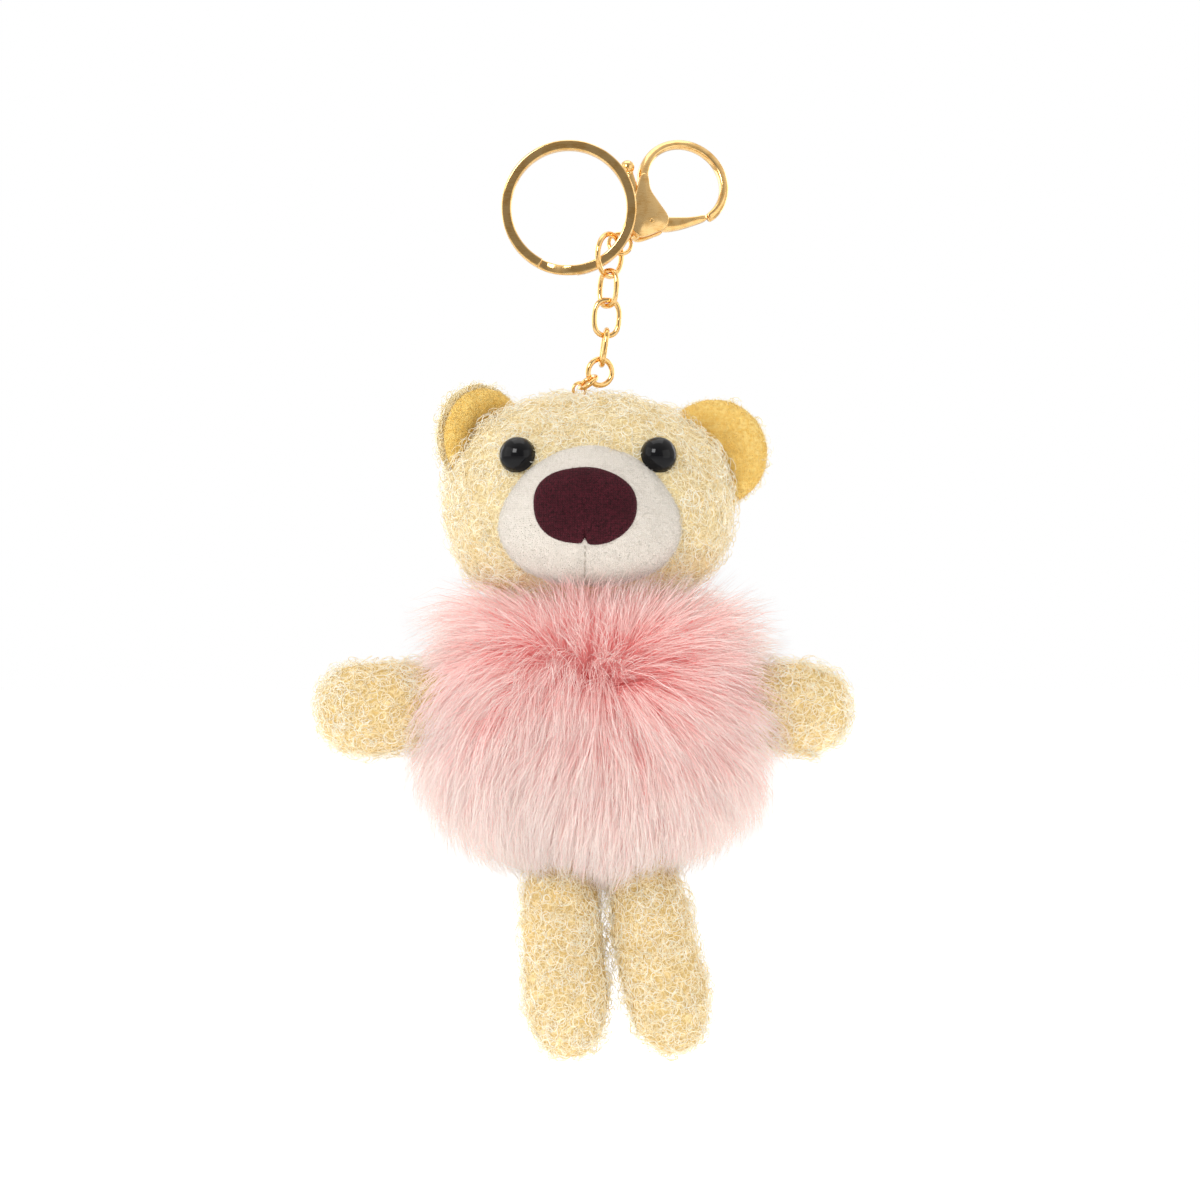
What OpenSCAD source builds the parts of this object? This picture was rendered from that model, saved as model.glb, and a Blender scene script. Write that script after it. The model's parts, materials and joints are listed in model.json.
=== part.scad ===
// Plush bear key ring: split ring, swivel snap clasp, chain and a stuffed bear in a fur cover.
// The frame: +Z up, the bear faces -Y, the origin is the centre of the split ring.

/* [Split ring] */
// Outside diameter of the split ring
ring_d = 30; // [26:0.5:34]
// Width of its flat wire, seen from the front
ring_w = 2.2; // [1.8:0.1:2.6]
// Thickness of one coil of the wire
coil_t = 1.45; // [1.2:0.05:1.6]

/* [Chain] */
// Diameter of the chain's wire
wire_d = 1.2; // [1:0.05:1.3]
// Outside length of an oval link
link_l = 9.1; // [8.5:0.1:9.5]
// Outside width of an oval link
link_w = 6.8; // [6.4:0.1:7.2]
// Outside diameter of the connector ring
connector_d = 10.6; // [10.4:0.1:11]
// Outside diameter of the round last link
round_d = 7; // [6.6:0.1:7.4]

/* [Clasp] */
// Middle radius of the hook's big loop
hook_r = 9.6; // [9.2:0.1:10]
// Thickness of the hook's wire
hook_t = 2.1; // [1.8:0.1:2.3]
// Thickness of the clasp body, front to back
clasp_t = 4.2; // [3.8:0.1:4.6]
// Diameter of the thumb ball
ball_d = 3.2; // [2.8:0.1:3.4]
// How far the clasp leans back behind the ring, in degrees
clasp_back = 22; // [18:1:24]

/* [Bear] */
// Half the width of the head
head_a = 32.5; // [30:0.5:34]
// Half the height and depth of the head
head_b = 23.6; // [22:0.2:25]
// Half the width of the muzzle
muzzle_a = 20.6; // [19:0.2:22]
// Half the height and depth of the muzzle
muzzle_b = 15.6; // [14:0.2:16]
// Radius of an ear
ear_r = 12; // [11:0.25:12.5]
// Diameter of a bead eye
eye_d = 8; // [7:0.5:9]
// Half the width of the fur cover, where the pile is dense
fur_a = 38; // [36:0.5:40]
// Half the height and depth of the fur cover
fur_b = 31.5; // [30:0.5:33]
// Largest radius of an arm
arm_r = 11.2; // [10:0.2:11.6]
// Length of an arm
arm_l = 36; // [34:0.5:38]
// Largest radius of a leg
leg_r = 10.2; // [9:0.2:10.2]
// Length of a leg
leg_l = 51.5; // [48:0.5:52]
// Thickness of the curly cloth
cloth = 1.5; // [1.2:0.1:1.8]

/* [Hidden] */
$fn = 64;

gold = "#d9b36a";
cream = "#f3e6bf";
golden = "#f0cf78";
white = "#f6efe6";
maroon = "#4a1420";
pink = "#eaa3a8";
filling = "#f7f5ef";
thread = "#efe0b8";

// small gap between two pieces that lie against each other
gap = 0.15;
wire_r = wire_d / 2;
// distance between the middles of two linked wires
hook_in = wire_d + 0.1;
ring_mid = (ring_d - ring_w) / 2;
coil_gap = 0.1;

// split ring: the joggle between its two coils, as angles anticlockwise from +X
joggle_from = -114;
joggle_to = -86;
coil_sweep = 329;
joggle_steps = 4;
// how many degrees the joggle reaches into each coil, and how much thinner it is
joggle_bite = 1.5;
joggle_slim = 0.02;

// connector ring: where it hangs on the split ring, and how it is turned
connector_at = -49.5;
connector_drop = -0.1;
connector_lean = 2;
connector_turn = 56;
connector_r = (connector_d - wire_d) / 2;

// chain: the lean of each link away from straight down, and its turn about its own length
link_lean = [3, 3, 8, 12];
link_turn = [-50, 12, 95, 25];
link_step = link_l - wire_d;
round_r = (round_d - wire_d) / 2;

// swivel eye: a small ring with a post and a rivet head
eye_ring_r = 2.5;
eye_wire_r = 0.45;
eye_tilt = -8;
eye_at = 58;
eye_drop = [0, 0.3, 0.5];
post_r = 0.7;
base_s = 3.5;
rivet_s = [5.3, 5.9];
rivet_r = 1.15;

// clasp, in its own plane: s runs along the swivel's axis, p across it towards the thumb ball
loop_s = 21.9;
hook_from = -100;
hook_to = 138;
body_outline = [[base_s, -1.9], [8, -4], [10.2, -4.6], [12.6, -3.3], [13.4, 0.6], [14.1, 4],
  [16.6, 6.9], [15.4, 8.1], [11.1, 5.9], [6.6, 3.3], [base_s, 1.9]];
slot_t = 1.9;
slot_s = [6.6, 13.9];
gate_t = 1.7;
pivot = [8.8, -1.3];
pivot_pin_r = 0.5;
pivot_run = 0.06;
hub_r = 1.9;
gate_bar = [[9.6, -2.6], [10.1, -4.9], [15.4, -7.9], [19.3, -9.45], [19.75, -8.1], [16.8, -6.3],
  [12.8, -2.9]];
thumb_bend = [11.4, 5.6];
thumb_at = [14.9, 11.4];
arm_w = 1.6;
spring_r = 0.62;
spring_wire_r = 0.13;
spring_turns = 5;
spring_from = [6.7, 2.2];
spring_l = 2.1;

// bear: middles of the head, the muzzle, the fur cover and the body
head_at = [4.3, 0, -64.4];
muzzle_at = [4.7, -17, -68.2];
nose_at = [3.6, -32, -67];
nose_a = 11.1;
nose_b = 8.3;
nose_proud = 1.4;
fur_at = [6.1, 0, -114.9];
body_at = [3.4, 0, -114.9];
body_a = 22.6;
body_b = 24;
neck_at = [4.3, 0, -88.6];
neck_r = 6;
neck_thread_r = 0.6;

// eyes: place on the head and the direction that they look
eye_spot = [15.2, -18.6, 8.6];
eye_out = [0.25, -0.93, 0.27];
shank_r = 1;
shank_room = 6.4;
washer_r = 3.2;

// ears: middle and turn of the left and the right ear
ear_at = [[-19.3, 1, -50.9], [33.7, 1, -54.4]];
ear_turn = [24, -6];
ear_deep = 3;
lining_deep = 1.2;

// sockets in the fur for the limbs, and the room between the fur and the head
arm_socket = [-4, 10.5, 22, 28];
leg_socket = [-3, 8.5, 21, 24];
neck_room = 4.3;
body_dent = 7;

// limbs: root, direction and lean
arm_root_left = [-19.6, 0, -110];
arm_root_right = [26.2, 0, -110];
arm_droop = 3;
leg_root_left = [-2.9, 0, -137.2];
leg_root_right = [13.6, 0, -137.2];
leg_lean = [-3.5, -12];

// vectors that place the chain
function down(lean) = [-sin(lean), 0, -cos(lean)];
function across(lean, turn) = [cos(lean) * cos(turn), sin(turn), -sin(lean) * cos(turn)];
function unit(v) = v / norm(v);

ring_wire = ring_mid * [cos(connector_at), 0, sin(connector_at)];
connector_c = ring_wire + connector_drop * down(connector_lean);
connector_u = across(connector_lean, connector_turn);
connector_bottom = connector_c + connector_r * down(connector_lean);

// wire middle at the top and the bottom of each link, each hung in the one above
function link_top(i) = (i == 0 ? connector_bottom : link_bottom(i - 1)) - hook_in * down(link_lean[i]);
function link_bottom(i) = link_top(i) + link_step * down(link_lean[i]);
round_c = link_top(3) + round_r * down(link_lean[3]);

// the sewn-in head ring hangs in the lower left of the round link
head_ring_r = 2.1;
head_ring_wire_r = 0.55;
sewn_at = 50;
round_u = across(link_lean[3], link_turn[3]);
sewn_n = -cos(sewn_at) * round_u + sin(sewn_at) * down(link_lean[3]);
sewn_t = sin(sewn_at) * round_u + cos(sewn_at) * down(link_lean[3]);
sewn_q = round_c + round_r * sewn_n;
head_ring_c = sewn_q + (head_ring_r - hook_in) * sewn_n;
loop_r = 1.5;
loop_wire_r = 0.35;
loop_c = head_ring_c + (head_ring_r + 0.5) * sewn_n;
chamber_r = 4.2;
chamber_drop = 1.2;
dimple_r = 5.4;

eye_way = sin(eye_at) * connector_u - cos(eye_at) * down(connector_lean);
eye_cross = connector_c + connector_r * eye_way;
eye_c = eye_cross + eye_drop;

// puts x, y and z of a shape along three given directions, from a given point
module along(o, x, y, z) {
  rows = [for (i = [0:2]) [x[i], y[i], z[i], o[i]]];
  multmatrix(concat(rows, [[0, 0, 0, 1]]))
    children();
}

// turns +Z of a shape to a direction, from a given point
module facing(o, d) {
  translate(o)
    rotate([0, acos(unit(d)[2]), atan2(d[1], d[0])])
      children();
}

module round_wire(r, wire, angle = 360) {
  rotate_extrude(angle = angle)
    translate([r, 0])
      circle(wire, $fn = 32);
}

// a chain link in the XZ plane, with its top wire at the origin and its bottom one step below
module oval_link() {
  bend = (link_w - wire_d) / 2;
  straight = link_step - 2 * bend;
  for (end = [0, 1])
    translate([0, 0, -bend - end * straight])
      rotate([90, end * 180, 0])
        round_wire(bend, wire_r, 180);
  for (side = [-1, 1])
    translate([side * bend, 0, -bend - straight])
      cylinder(r = wire_r, h = straight, $fn = 32);
}

module placed_link(i) {
  color(gold)
    translate(link_top(i))
      rotate([0, link_lean[i], 0])
        rotate([0, 0, link_turn[i]])
          oval_link();
}

// half an ellipse, from pole to pole, as points beside the axis it is spun about
function half_ellipse(a, b, steps = 18) = [for (i = [0:steps])
  let (t = 180 * i / steps) [b * sin(t), -a * cos(t)]];

// a rounded body spun about X: half its length is a, and its radius is b
module egg(at, a, b) {
  translate(at)
    rotate([0, 90, 0])
      rotate_extrude()
        polygon(half_ellipse(a, b));
}

// clasp frame: s along the swivel, p towards the thumb ball, thickness towards the viewer
module clasp_frame() {
  translate(eye_c)
    rotate([0, -45, 0])
      rotate([0, 0, clasp_back])
        rotate([90, 0, 0])
          children();
}

module coil(from, layer) {
  low = layer > 0 ? coil_gap / 2 : -coil_gap / 2 - coil_t;
  translate([0, 0, low])
    rotate([0, 0, from])
      rotate_extrude(angle = coil_sweep)
        translate([ring_mid - ring_w / 2, 0])
          square([ring_w, coil_t]);
}

module joggle_slice(k) {
  at = k / joggle_steps;
  layer = at * (coil_t + coil_gap);
  bite = joggle_bite * (2 * at - 1);
  translate([0, 0, -coil_gap / 2 - coil_t + layer + joggle_slim])
    rotate([0, 0, joggle_from + at * (joggle_to - joggle_from) + bite])
      rotate_extrude(angle = 0.4)
        translate([ring_mid - ring_w / 2 + joggle_slim, 0])
          square([ring_w - 2 * joggle_slim, coil_t - 2 * joggle_slim]);
}

module split_ring() {
  color(gold)
    rotate([90, 0, 0]) {
      coil(joggle_to, 1);
      coil(joggle_from - coil_sweep, -1);
      for (k = [0:joggle_steps - 1])
        hull() {
          joggle_slice(k);
          joggle_slice(k + 1);
        }
    }
}

module connector_ring() {
  color(gold)
    along(connector_c, connector_u, -down(connector_lean), cross(connector_u, -down(connector_lean)))
      round_wire(connector_r, wire_r);
}

module swivel_eye() {
  color(gold)
    clasp_frame() {
      rotate([eye_tilt, 0, 0])
        round_wire(eye_ring_r, eye_wire_r);
      translate([eye_ring_r, 0, 0])
        rotate([0, 90, 0])
          cylinder(r = post_r, h = rivet_s[1] - eye_ring_r);
      translate([rivet_s[0], 0, 0])
        rotate([0, 90, 0])
          cylinder(r = rivet_r, h = rivet_s[1] - rivet_s[0]);
    }
}

module clasp_body() {
  color(gold)
    clasp_frame()
      difference() {
        union() {
          translate([0, 0, -clasp_t / 2])
            linear_extrude(clasp_t)
              polygon(body_outline);
          translate([loop_s, 0, 0])
            rotate([0, 0, hook_from])
              round_wire(hook_r, hook_t / 2, hook_to - hook_from);
        }
        translate([slot_s[0], -10, -slot_t / 2])
          cube([slot_s[1] - slot_s[0], 20, slot_t]);
        translate([base_s - 1, 0, 0])
          rotate([0, 90, 0])
            cylinder(r = post_r + 0.06, h = slot_s[0] - base_s + 2);
        translate([rivet_s[0] - 0.1, 0, 0])
          rotate([0, 90, 0])
            cylinder(r = rivet_r + gap, h = slot_s[0] - rivet_s[0] + 0.5);
        translate([pivot[0], pivot[1], -clasp_t])
          cylinder(r = pivot_pin_r + 0.02, h = 2 * clasp_t);
      }
}

module gate_pin() {
  color(gold)
    clasp_frame()
      translate([pivot[0], pivot[1], -clasp_t / 2])
        cylinder(r = pivot_pin_r, h = clasp_t);
}

// a straight flat bar with round ends
module strap(a, b, w) {
  d = b - a;
  translate(a)
    rotate([0, 0, atan2(d[1], d[0])])
      translate([0, -w / 2])
        square([norm(d), w]);
  for (end = [a, b])
    translate(end)
      circle(w / 2);
}

module clasp_gate() {
  color(gold)
    clasp_frame()
      difference() {
        union() {
          translate([0, 0, -gate_t / 2])
            linear_extrude(gate_t) {
              polygon(gate_bar);
              translate(pivot)
                circle(hub_r);
              strap(pivot, thumb_bend, arm_w);
              strap(thumb_bend, thumb_at, arm_w);
            }
          translate([thumb_at[0], thumb_at[1], 0])
            sphere(d = ball_d);
        }
        translate([pivot[0], pivot[1], -clasp_t])
          cylinder(r = pivot_pin_r + pivot_run, h = 2 * clasp_t);
      }
}

// points of a helix's wire: rings of six corners round the coil, one ring a step
function helix_point(t, k) = let (a = 360 * spring_turns * t, r = spring_r + spring_wire_r * cos(60 * k))
  [spring_l * t + spring_wire_r * sin(60 * k), r * cos(a), r * sin(a)];

module gate_spring() {
  steps = 60;
  rings = [for (i = [0:steps]) for (k = [0:5]) helix_point(i / steps, k)];
  sides = [for (i = [0:steps - 1]) for (k = [0:5])
    [6 * i + k, 6 * i + (k + 1) % 6, 6 * i + 6 + (k + 1) % 6, 6 * i + 6 + k]];
  ends = [[5, 4, 3, 2, 1, 0], [for (k = [0:5]) 6 * steps + k]];
  color(gold)
    clasp_frame()
      translate([spring_from[0] + spring_wire_r, spring_from[1], 0])
        polyhedron(rings, concat(sides, ends), convexity = 10);
}

module chain_link_1() {
  placed_link(0);
}

module chain_link_2() {
  placed_link(1);
}

module chain_link_3() {
  placed_link(2);
}

module chain_link_4() {
  color(gold)
    along(round_c, round_u, -down(link_lean[3]), cross(round_u, -down(link_lean[3])))
      round_wire(round_r, wire_r);
}

module head_ring() {
  color(gold)
    along(head_ring_c, sewn_n, cross(sewn_t, sewn_n), sewn_t)
      round_wire(head_ring_r, head_ring_wire_r);
}

module hanging_loop() {
  color(thread)
    along(loop_c, sewn_n, sewn_t, -cross(sewn_t, sewn_n))
      round_wire(loop_r, loop_wire_r);
}

// room for the sewn ring, its loop and the foot of the round link
module crown_room() {
  translate(head_ring_c + chamber_drop * sewn_n)
    sphere(chamber_r);
  translate(round_c)
    sphere(dimple_r);
}

module eye_frame(side) {
  mirrored = [side, 1, 1];
  spot = [for (i = [0:2]) mirrored[i] * eye_spot[i]];
  look = [for (i = [0:2]) mirrored[i] * eye_out[i]];
  facing(head_at + spot, look)
    children();
}

module head_cover() {
  color(cream)
    difference() {
      egg(head_at, head_a, head_b);
      egg(head_at, head_a - cloth, head_b - cloth);
      crown_room();
      for (side = [-1, 1])
        eye_frame(side)
          translate([0, 0, -shank_room])
            cylinder(r = shank_r + 0.1, h = shank_room + 2);
    }
}

module head_stuffing() {
  color(filling)
    difference() {
      egg(head_at, head_a - cloth - gap, head_b - cloth - gap);
      crown_room();
      for (side = [-1, 1])
        eye_frame(side)
          translate([0, 0, -shank_room])
            cylinder(r = washer_r + 0.3, h = 2 * shank_room);
    }
}

module muzzle_cover() {
  color(white)
    difference() {
      egg(muzzle_at, muzzle_a, muzzle_b);
      egg(muzzle_at, muzzle_a - cloth, muzzle_b - cloth);
      egg(head_at, head_a + gap, head_b + gap);
      for (side = [-1, 1])
        eye_frame(side)
          sphere(eye_d / 2 + 0.3);
    }
}

module muzzle_stuffing() {
  color(filling)
    difference() {
      egg(muzzle_at, muzzle_a - cloth - gap, muzzle_b - cloth - gap);
      egg(head_at, head_a + gap, head_b + gap);
      for (side = [-1, 1])
        eye_frame(side)
          sphere(eye_d / 2 + 0.5);
    }
}

module muzzle_seam() {
  thread_r = 0.25;
  color(thread)
    translate([nose_at[0], muzzle_at[1], muzzle_at[2]])
      rotate([0, 90, 0])
        rotate([0, 0, -62])
          round_wire(muzzle_b + thread_r + 0.05, thread_r, 44);
}

module nose() {
  color(maroon)
    difference() {
      intersection() {
        egg(nose_at, nose_a, nose_b);
        egg(muzzle_at, muzzle_a + nose_proud, muzzle_b + nose_proud);
      }
      egg(muzzle_at, muzzle_a + gap / 2, muzzle_b + gap / 2);
    }
}

// a bead eye: a dome on a shank that goes through the cloth into a washer
module bead_eye(side) {
  color("black")
    eye_frame(side) {
      intersection() {
        sphere(d = eye_d);
        translate([0, 0, 1 + eye_d / 2])
          cube(eye_d, center = true);
      }
      translate([0, 0, -5])
        cylinder(r = shank_r, h = 6.5);
    }
}

module eye_washer(side) {
  color(white)
    eye_frame(side)
      translate([0, 0, -4.4])
        difference() {
          cylinder(r = washer_r, h = 1);
          translate([0, 0, -1])
            cylinder(r = shank_r + 0.05, h = 3);
        }
}

module eye_left() {
  bead_eye(-1);
}

module eye_right() {
  bead_eye(1);
}

module eye_washer_left() {
  eye_washer(-1);
}

module eye_washer_right() {
  eye_washer(1);
}

// half of an ear's section, from its rim to its middle
function ear_rim(deep, n = 8) = [for (k = [0:n]) [ear_r * cos(90 * k / n), deep * sin(90 * k / n)]];

// half of a padded disc, flat on its own middle plane, behind it (back) or in front of it
module ear_half(i, back) {
  deep = back > 0 ? ear_deep : lining_deep;
  difference() {
    translate(ear_at[i])
      rotate([0, 0, ear_turn[i]])
        rotate([-90 * back, 0, 0])
          translate([0, 0, gap / 2])
            rotate_extrude()
              polygon(concat([[0, 0]], ear_rim(deep)));
    egg(head_at, head_a + gap, head_b + gap);
  }
}

module ear_back_left() {
  color(cream) ear_half(0, 1);
}

module ear_back_right() {
  color(cream) ear_half(1, 1);
}

module ear_lining_left() {
  color(golden) ear_half(0, -1);
}

module ear_lining_right() {
  color(golden) ear_half(1, -1);
}

// profile of a stuffed limb along +Z: narrow root, full middle, round tip
root_share = 0.78;
function limb_full(u) = sqrt(max(0, 1 - pow(2 * u - 1, 4))) * (root_share + (1 - root_share) * sin(90 * u));
function limb_profile(l, r, shrink, n = 14) = [for (i = [0:n])
  let (u = (1 - cos(180 * i / n)) / 2, inset = i == 0 || i == n ? 0 : shrink)
  [max(0, r * limb_full(u) - inset), l * u + shrink * (1 - 2 * u)]];

module limb(l, r, shrink = 0) {
  rotate_extrude()
    polygon(limb_profile(l, r, shrink));
}

module limb_cover(l, r) {
  difference() {
    limb(l, r);
    limb(l, r, cloth);
  }
}

module arm_frame(side) {
  root = side < 0 ? arm_root_left : arm_root_right;
  translate(root)
    rotate([0, side * (90 + arm_droop), 0])
      children();
}

module leg_frame(side) {
  root = side < 0 ? leg_root_left : leg_root_right;
  lean = side < 0 ? leg_lean[0] : leg_lean[1];
  translate(root)
    rotate([0, 180 + lean, 0])
      children();
}

// a conical socket in the fur, wide enough for a limb to swing: [starts at, first radius, last radius, length]
module socket(size) {
  translate([0, 0, size[0]])
    cylinder(r1 = size[1], r2 = size[2], h = size[3]);
}

module fur_cover() {
  color(pink)
    difference() {
      egg(fur_at, fur_a, fur_b);
      egg(body_at, body_a + gap, body_b + gap);
      egg(head_at, head_a + neck_room, head_b + neck_room);
      egg(muzzle_at - [0, 0, 2], muzzle_a + 2, muzzle_b + 2);
      for (side = [-1, 1]) {
        arm_frame(side)
          socket(arm_socket);
        leg_frame(side)
          socket(leg_socket);
      }
    }
}

module body_stuffing() {
  color(filling)
    difference() {
      egg(body_at, body_a, body_b);
      for (side = [-1, 1]) {
        arm_frame(side)
          sphere(body_dent);
        leg_frame(side)
          sphere(body_dent);
      }
    }
}

module neck_seam() {
  color(thread)
    translate([neck_at[0], 0, neck_at[2] - 1.2])
      round_wire(neck_r, neck_thread_r);
}

module arm_cover_left() {
  color(cream) arm_frame(-1) limb_cover(arm_l, arm_r);
}

module arm_stuffing_left() {
  color(filling) arm_frame(-1) limb(arm_l, arm_r, cloth + gap);
}

module arm_cover_right() {
  color(cream) arm_frame(1) limb_cover(arm_l, arm_r);
}

module arm_stuffing_right() {
  color(filling) arm_frame(1) limb(arm_l, arm_r, cloth + gap);
}

module leg_cover_left() {
  color(cream) leg_frame(-1) limb_cover(leg_l, leg_r);
}

module leg_stuffing_left() {
  color(filling) leg_frame(-1) limb(leg_l, leg_r, cloth + gap);
}

module leg_cover_right() {
  color(cream) leg_frame(1) limb_cover(leg_l, leg_r);
}

module leg_stuffing_right() {
  color(filling) leg_frame(1) limb(leg_l, leg_r, cloth + gap);
}

split_ring();
connector_ring();
swivel_eye();
clasp_body();
gate_pin();
gate_spring();
clasp_gate();
chain_link_1();
chain_link_2();
chain_link_3();
chain_link_4();
head_ring();
hanging_loop();
head_cover();
head_stuffing();
muzzle_cover();
muzzle_stuffing();
muzzle_seam();
nose();
eye_left();
eye_right();
eye_washer_left();
eye_washer_right();
ear_back_left();
ear_back_right();
ear_lining_left();
ear_lining_right();
fur_cover();
body_stuffing();
neck_seam();
arm_cover_left();
arm_stuffing_left();
arm_cover_right();
arm_stuffing_right();
leg_cover_left();
leg_stuffing_left();
leg_cover_right();
leg_stuffing_right();
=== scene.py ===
"""Plush bear key ring: split ring, swivel snap clasp, chain, and a stuffed bear in a long-pile fur cover.

Lengths are worked out in millimetres in the frame of the key ring (+Z up, the bear faces -Y) and put
into the meshes in metres. Places come from the frame's boxes and joints.
"""
import json
import bpy
import numpy as np
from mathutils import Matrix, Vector


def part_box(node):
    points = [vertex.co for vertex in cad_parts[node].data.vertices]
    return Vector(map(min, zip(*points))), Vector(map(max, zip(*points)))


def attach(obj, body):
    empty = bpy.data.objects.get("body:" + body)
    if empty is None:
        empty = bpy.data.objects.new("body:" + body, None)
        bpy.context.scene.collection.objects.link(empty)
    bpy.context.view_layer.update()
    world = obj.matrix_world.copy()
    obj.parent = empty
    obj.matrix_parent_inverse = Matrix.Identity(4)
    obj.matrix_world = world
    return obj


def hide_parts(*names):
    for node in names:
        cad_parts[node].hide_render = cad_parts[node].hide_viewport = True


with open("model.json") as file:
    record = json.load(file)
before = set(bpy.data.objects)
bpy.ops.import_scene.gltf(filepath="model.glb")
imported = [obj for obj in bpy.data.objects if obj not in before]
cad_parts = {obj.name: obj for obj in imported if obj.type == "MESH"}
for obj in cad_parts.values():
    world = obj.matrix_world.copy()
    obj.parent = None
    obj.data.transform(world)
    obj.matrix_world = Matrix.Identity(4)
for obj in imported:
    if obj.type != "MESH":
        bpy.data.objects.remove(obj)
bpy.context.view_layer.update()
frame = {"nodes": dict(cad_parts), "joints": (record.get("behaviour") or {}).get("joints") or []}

MM = 0.001
UP = np.array([0.0, 0.0, 1.0])
FRONT = np.array([0.0, -1.0, 0.0])


# ---- vectors and places

def unit(v):
    """v divided by its length, for one vector or rows of them."""
    v = np.asarray(v, float)
    return v / np.maximum(np.linalg.norm(v, axis=-1, keepdims=True), 1e-12)


def smooth(x):
    """0 below 0, 1 above 1, and 3x^2 - 2x^3 between."""
    x = np.clip(x, 0, 1)
    return x * x * (3 - 2 * x)


def box_mm(node):
    """Lowest and highest corner of a CAD node in millimetres."""
    low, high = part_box(node)
    return np.array(low) / MM, np.array(high) / MM


def centre_of(node):
    """The middle of a CAD node's box."""
    low, high = box_mm(node)
    return (low + high) / 2


JOINT_AT = {j["name"]: np.array(j["pos_m"]) / MM for j in frame["joints"]}
JOINT_AXIS = {j["name"]: unit(j["axis"]) for j in frame["joints"]}


def axes_of(node):
    """Middle, the three principal directions from longest to shortest, and the sizes along them."""
    data = frame["nodes"][node].data
    points = np.zeros(3 * len(data.vertices))
    data.vertices.foreach_get("co", points)
    points = points.reshape(-1, 3) / MM
    middle = (points.min(0) + points.max(0)) / 2
    directions = np.linalg.svd(points - points.mean(0), full_matrices=False)[2]
    along = (points - middle) @ directions.T
    return middle + ((along.min(0) + along.max(0)) / 2) @ directions, directions, np.ptp(along, axis=0)


def waves(p, length, seed, count=9):
    """Smooth lumps from about -1 to 1: the mean of sine waves of that wavelength in seeded directions."""
    rng = np.random.default_rng(seed)
    way = unit(rng.normal(size=(count, 3))) * rng.uniform(0.7, 1.5, (count, 1)) * 2 * np.pi / length
    return np.sin(p @ way.T + rng.uniform(0, 2 * np.pi, count)).mean(-1) * 2


def turns(n):
    """n even angles round a circle."""
    return 2 * np.pi * np.arange(n) / n


def around(n, u, v):
    """cos t u + sin t v at n angles t round a circle."""
    t = turns(n)[:, None]
    return np.cos(t) * u + np.sin(t) * v


# ---- meshes

def in_scene(name, data):
    """A new object with that data."""
    made = bpy.data.objects.new(name, data)
    bpy.context.scene.collection.objects.link(made)
    return made


def new_piece(name, points, faces, materials, body, replaces=(), slot=None, tones=None, fill=None):
    """A mesh object on a body, from points (mm) and arrays of corner numbers, one for each face size.
    tones numbers each face's material, and fill is not used."""
    faces = [f for f in faces if len(f)]
    corners = np.concatenate([f.ravel() for f in faces])
    counts = np.concatenate([np.full(len(f), f.shape[1]) for f in faces])
    mesh = bpy.data.meshes.new(name)
    mesh.vertices.add(len(points))
    mesh.vertices.foreach_set("co", (np.asarray(points) * MM).astype(np.float32).ravel())
    mesh.loops.add(len(corners))
    mesh.loops.foreach_set("vertex_index", corners.astype(np.int32))
    mesh.polygons.add(len(counts))
    mesh.polygons.foreach_set("loop_start", np.concatenate([[0], np.cumsum(counts)[:-1]]).astype(np.int32))
    mesh.update(calc_edges=True)
    mesh.polygons.foreach_set("use_smooth", np.ones(len(counts), bool))
    for m in materials:
        mesh.materials.append(m)
    if tones is not None:
        mesh.polygons.foreach_set("material_index", np.asarray(tones, np.int32))
    mesh.validate()
    piece = in_scene(name, mesh)
    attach(piece, body)
    if replaces:
        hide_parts(*replaces)


def outward(points, faces):
    """The same faces, turned round if the volume that they close is negative."""
    total = 0.0
    for f in faces:
        for k in range(1, f.shape[1] - 1) if len(f) else ():
            a, b, c = points[f[:, 0]], points[f[:, k]], points[f[:, k + 1]]
            total += np.einsum("ij,ij->i", a, np.cross(b, c)).sum()
    return faces if total > 0 else [f[:, ::-1] for f in faces]


def wrapped_quads(rows, columns, ring=False):
    """Quads of a grid that wraps round in its columns, and in its rows too if ring is true."""
    r = np.arange(rows if ring else rows - 1)[:, None]
    c = np.arange(columns)[None, :]
    r2, c2 = (r + 1) % rows, (c + 1) % columns
    quads = [r * columns + c, r * columns + c2, r2 * columns + c2, r2 * columns + c]
    return np.stack(quads, -1).reshape(-1, 4)


def closed_grid(p):
    """Points and faces of a grid (rows, columns, 3): its columns wrap and fans close its two end rows."""
    rows, columns = p.shape[:2]
    points = np.concatenate([p.reshape(-1, 3), p[:1].mean(1), p[-1:].mean(1)])
    c = np.arange(columns)
    c2 = (c + 1) % columns
    top, bottom = rows * columns, rows * columns + 1
    fan = np.stack([np.full(columns, top), c2, c], -1)
    foot = np.stack([np.full(columns, bottom), (rows - 1) * columns + c, (rows - 1) * columns + c2], -1)
    faces = [wrapped_quads(rows, columns), np.concatenate([fan, foot])]
    return points, outward(points, faces)


def ring_grid(p):
    """Points and faces of a grid that wraps both ways, such as a ring of wire."""
    points = p.reshape(-1, 3)
    return points, outward(points, [wrapped_quads(*p.shape[:2], ring=True)])


def together(*shapes):
    """Several closed shapes as one list of points and faces."""
    points, quads, others, start = [], [], [], 0
    for at, faces in shapes:
        for f in faces:
            (quads if f.shape[1] == 4 else others).append(f + start)
        points.append(at)
        start += len(at)
    return np.concatenate(points), [np.concatenate(k) for k in (quads, others) if k]


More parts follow.
